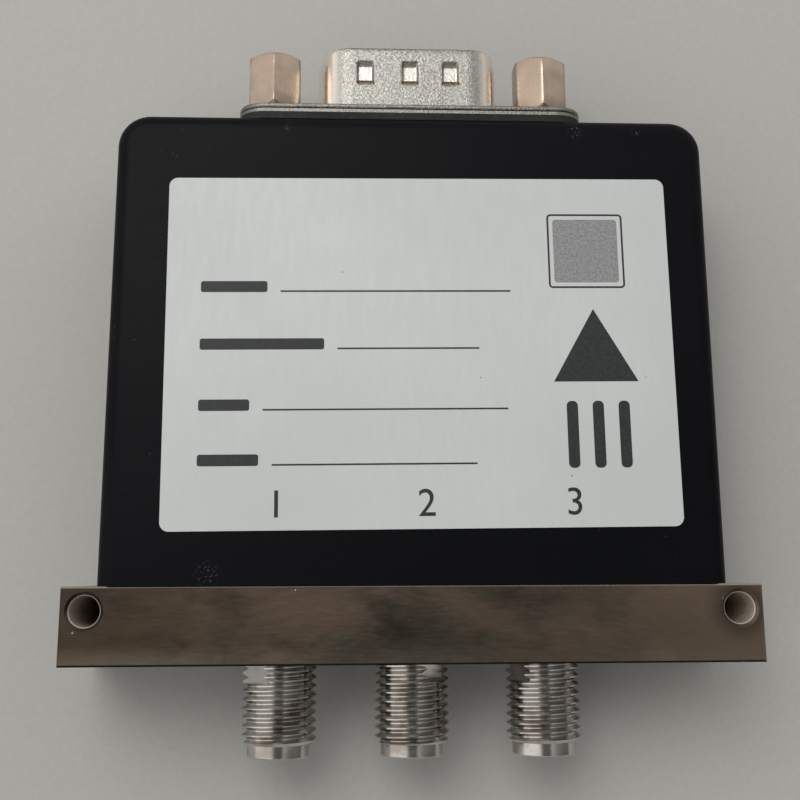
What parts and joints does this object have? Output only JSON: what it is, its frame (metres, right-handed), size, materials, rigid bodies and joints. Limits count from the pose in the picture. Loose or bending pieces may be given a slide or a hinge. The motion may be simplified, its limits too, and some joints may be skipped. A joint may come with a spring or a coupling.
{
  "type": "coaxial switch",
  "caption": "Electromechanical coaxial changeover switch: black cover on a plated plate, threaded coaxial ports below, multi-pin control connector with jackscrews above.",
  "frame": {"origin": "midway between the two mounting holes, on the plate's back face", "axes": "+X along the row of ports, +Y from the ports towards the control connector, +Z out of the labelled front"},
  "size_m": [0.0568, 0.0623, 0.0146],
  "materials": {
    "plated_body": "satin nickel plate",
    "port_steel": "polished stainless steel",
    "dielectric_plastic": "white fluoropolymer",
    "contact_gold": "gold plate over copper alloy",
    "tinned_wire": "tinned copper",
    "screw_steel": "plain stainless steel",
    "frame_aluminium": "machined, clear passivated",
    "soft_iron": "nickel-flashed soft iron",
    "magnet_grey": "ground magnet alloy",
    "bronze": "sintered bronze",
    "coil_plastic": "moulded nylon",
    "coil_wire": "enamelled copper wire",
    "board_green": "glass-epoxy board with green mask",
    "black_plastic": "moulded thermoset",
    "cover_paint": "satin black, fine grain",
    "label_film": "printed polyester film",
    "gasket_rubber": "cut rubber sheet",
    "connector_tin": "bright tin plate",
    "jackscrew_nickel": "nickel plate"
  },
  "bodies": {
    "housing": {"actuator_frame": "frame_aluminium", "board_screws": "screw_steel", "board_standoffs": "frame_aluminium", "bobbin_left": "coil_plastic", "bobbin_right": "coil_plastic", "centre_contact_common": "contact_gold", "centre_contact_left": "contact_gold", "centre_contact_right": "contact_gold", "coil_terminals": "tinned_wire", "connector_front_shell": "connector_tin", "connector_gasket": "gasket_rubber", "connector_insulator": "black_plastic", "connector_pins": "contact_gold", "connector_rear_shell": "connector_tin", "core_left": "soft_iron", "core_right": "soft_iron", "cover": "cover_paint", "dielectric_common": "dielectric_plastic", "dielectric_left": "dielectric_plastic", "dielectric_right": "dielectric_plastic", "driver_board": "board_green", "driver_chip": "black_plastic", "frame_screws": "screw_steel", "indicator_block_left": "black_plastic", "indicator_block_right": "black_plastic", "indicator_contacts": "contact_gold", "indicator_leads": "tinned_wire", "indicator_terminals": "contact_gold", "jackscrews": "jackscrew_nickel", "label": "label_film", "latch_magnet": "magnet_grey", "lid_screws": "screw_steel", "lock_washers": "jackscrew_nickel", "magnet_pole": "soft_iron", "pivot_pin": "screw_steel", "reed_guide_posts": "dielectric_plastic", "return_spring_left": "screw_steel", "return_spring_right": "screw_steel", "rf_body": "plated_body", "rf_lid": "plated_body", "rod_bushings": "dielectric_plastic", "sma_port_common": "port_steel", "sma_port_left": "port_steel", "sma_port_right": "port_steel", "surge_diodes": "black_plastic", "winding_left": "coil_wire", "winding_right": "coil_wire", "yoke": "soft_iron", "yoke_screws": "screw_steel"},
    "rocker_assembly": {"rocker": "soft_iron", "rocker_pushers": "bronze", "rocker_pads": "coil_plastic", "pivot_bushing": "bronze"},
    "left_rod_and_reed": {"push_rod_left": "dielectric_plastic", "rf_reed_left": "contact_gold"},
    "right_rod_and_reed": {"push_rod_right": "dielectric_plastic", "rf_reed_right": "contact_gold"},
    "left_leaf": {"indicator_leaf_left": "contact_gold"},
    "right_leaf": {"indicator_leaf_right": "contact_gold"}
  },
  "joints": [
    {"name": "rocker_tilt", "type": "hinge", "parent": "housing", "child": "rocker_assembly", "pos_m": [0, 0.00908, 0.0073], "axis": [0, 0, -1], "range_deg": [0, 6.15]},
    {"name": "left_rod_slide", "type": "slide", "parent": "housing", "child": "left_rod_and_reed", "axis": [0, 1, 0], "range_m": [0, 0.0006], "deforming": ["return_spring_left"]},
    {"name": "right_rod_slide", "type": "slide", "parent": "housing", "child": "right_rod_and_reed", "axis": [0, 1, 0], "range_m": [-0.0006, 0], "deforming": ["return_spring_right"]},
    {"name": "left_leaf_swing", "type": "hinge", "parent": "housing", "child": "left_leaf", "pos_m": [-0.016, 0.00752, 0.0073], "axis": [0, 0, 1], "range_deg": [0, 14.28]},
    {"name": "right_leaf_swing", "type": "hinge", "parent": "housing", "child": "right_leaf", "pos_m": [0.016, 0.00752, 0.0073], "axis": [0, 0, 1], "range_deg": [0, 14.28]}
  ],
  "couplings": [
    {"joint": "left_rod_slide", "follows": "rocker_tilt", "m_per_rad": 0.005587},
    {"joint": "right_rod_slide", "follows": "rocker_tilt", "m_per_rad": -0.005587},
    {"joint": "left_leaf_swing", "follows": "rocker_tilt", "ratio": 2.3201},
    {"joint": "right_leaf_swing", "follows": "rocker_tilt", "ratio": 2.3201}
  ]
}
